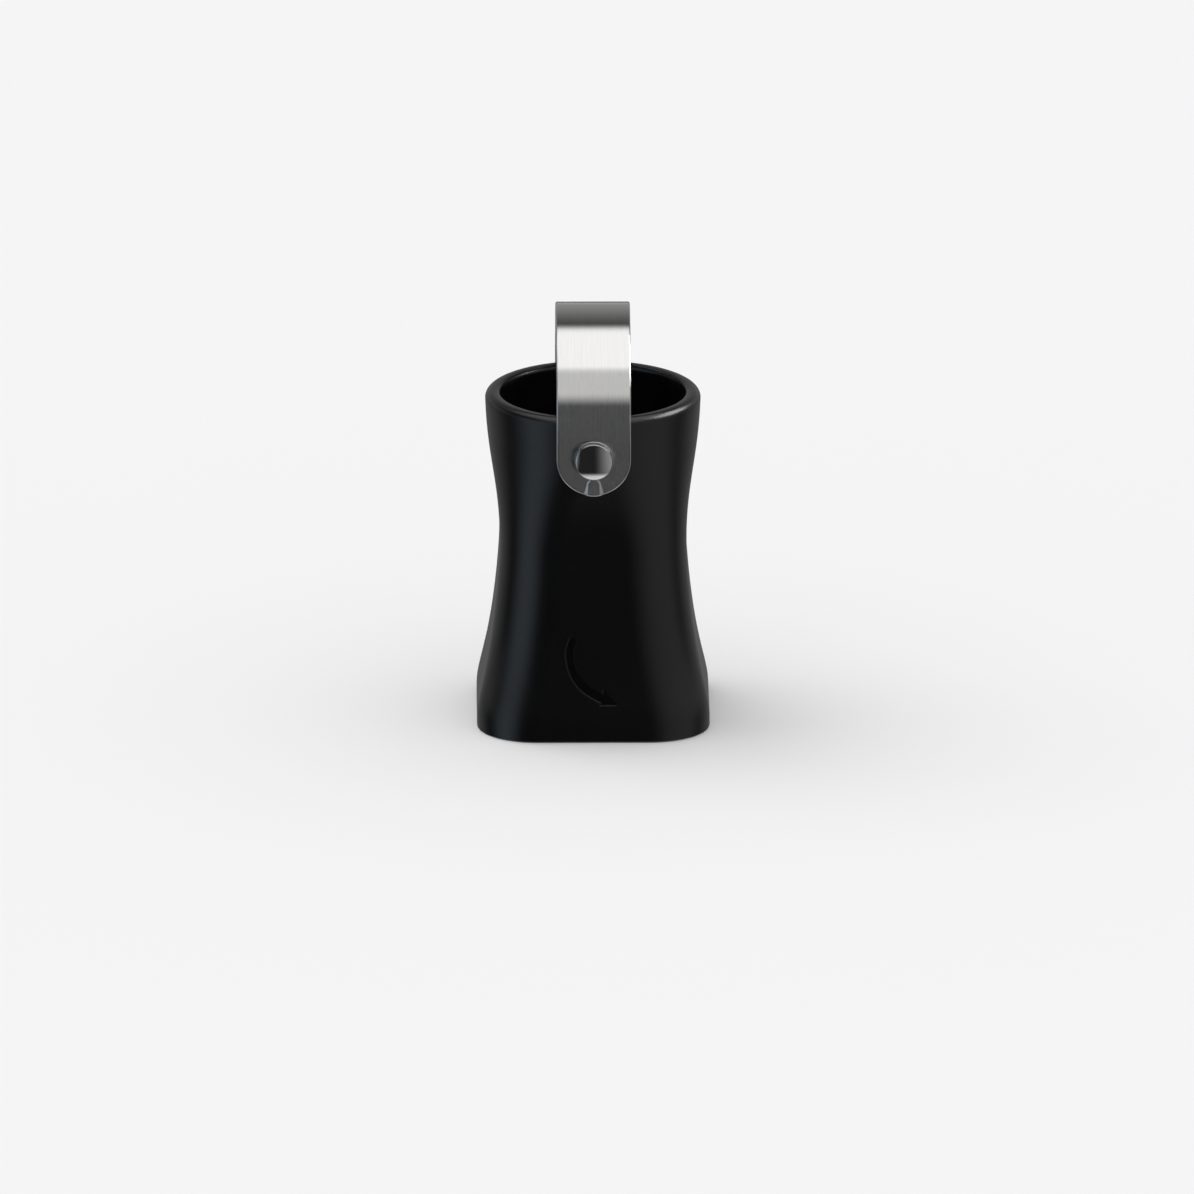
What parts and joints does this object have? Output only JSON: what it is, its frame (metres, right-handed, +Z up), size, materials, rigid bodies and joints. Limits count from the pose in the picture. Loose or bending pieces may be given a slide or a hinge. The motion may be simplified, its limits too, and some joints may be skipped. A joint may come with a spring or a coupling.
{
  "type": "champagne opener",
  "caption": "Waisted sleeve that goes over a sparkling wine cork and bottle neck, with a ribbed cork grip inside and a swinging steel strap that catches the cork.",
  "frame": {"origin": "centre of the foot of the sleeve, on the surface that it stands on", "axes": "+Z up along the axis of the sleeve, the front rivet towards -Y, the strap swings about Y"},
  "size_m": [0.0466, 0.0506, 0.0839],
  "materials": {
    "soft_touch_black": "black soft-touch coat, satin to matte",
    "plain_black": "black moulded plastic, fine spark-eroded texture",
    "grip_rubber": "dark grey rubber, matte",
    "brushed_steel": "stainless steel, brushed along the band, edges broken",
    "polished_steel": "polished stainless steel",
    "black_nylon": "black nylon, slightly waxy"
  },
  "bodies": {
    "sleeve": {"grip_sleeve": "soft_touch_black", "base_plate": "plain_black", "cork_grip_ring": "grip_rubber", "front_rivet": "polished_steel", "rear_rivet": "polished_steel", "front_strap_washer": "black_nylon", "rear_strap_washer": "black_nylon", "front_backing_washer": "polished_steel", "rear_backing_washer": "polished_steel"},
    "strap": {"cork_strap": "brushed_steel"}
  },
  "joints": [
    {"name": "strap_swing", "type": "hinge", "parent": "sleeve", "child": "strap", "pos_m": [0, 0, 0.0589], "axis": [0, 1, 0], "range_deg": [-107, 107]}
  ]
}
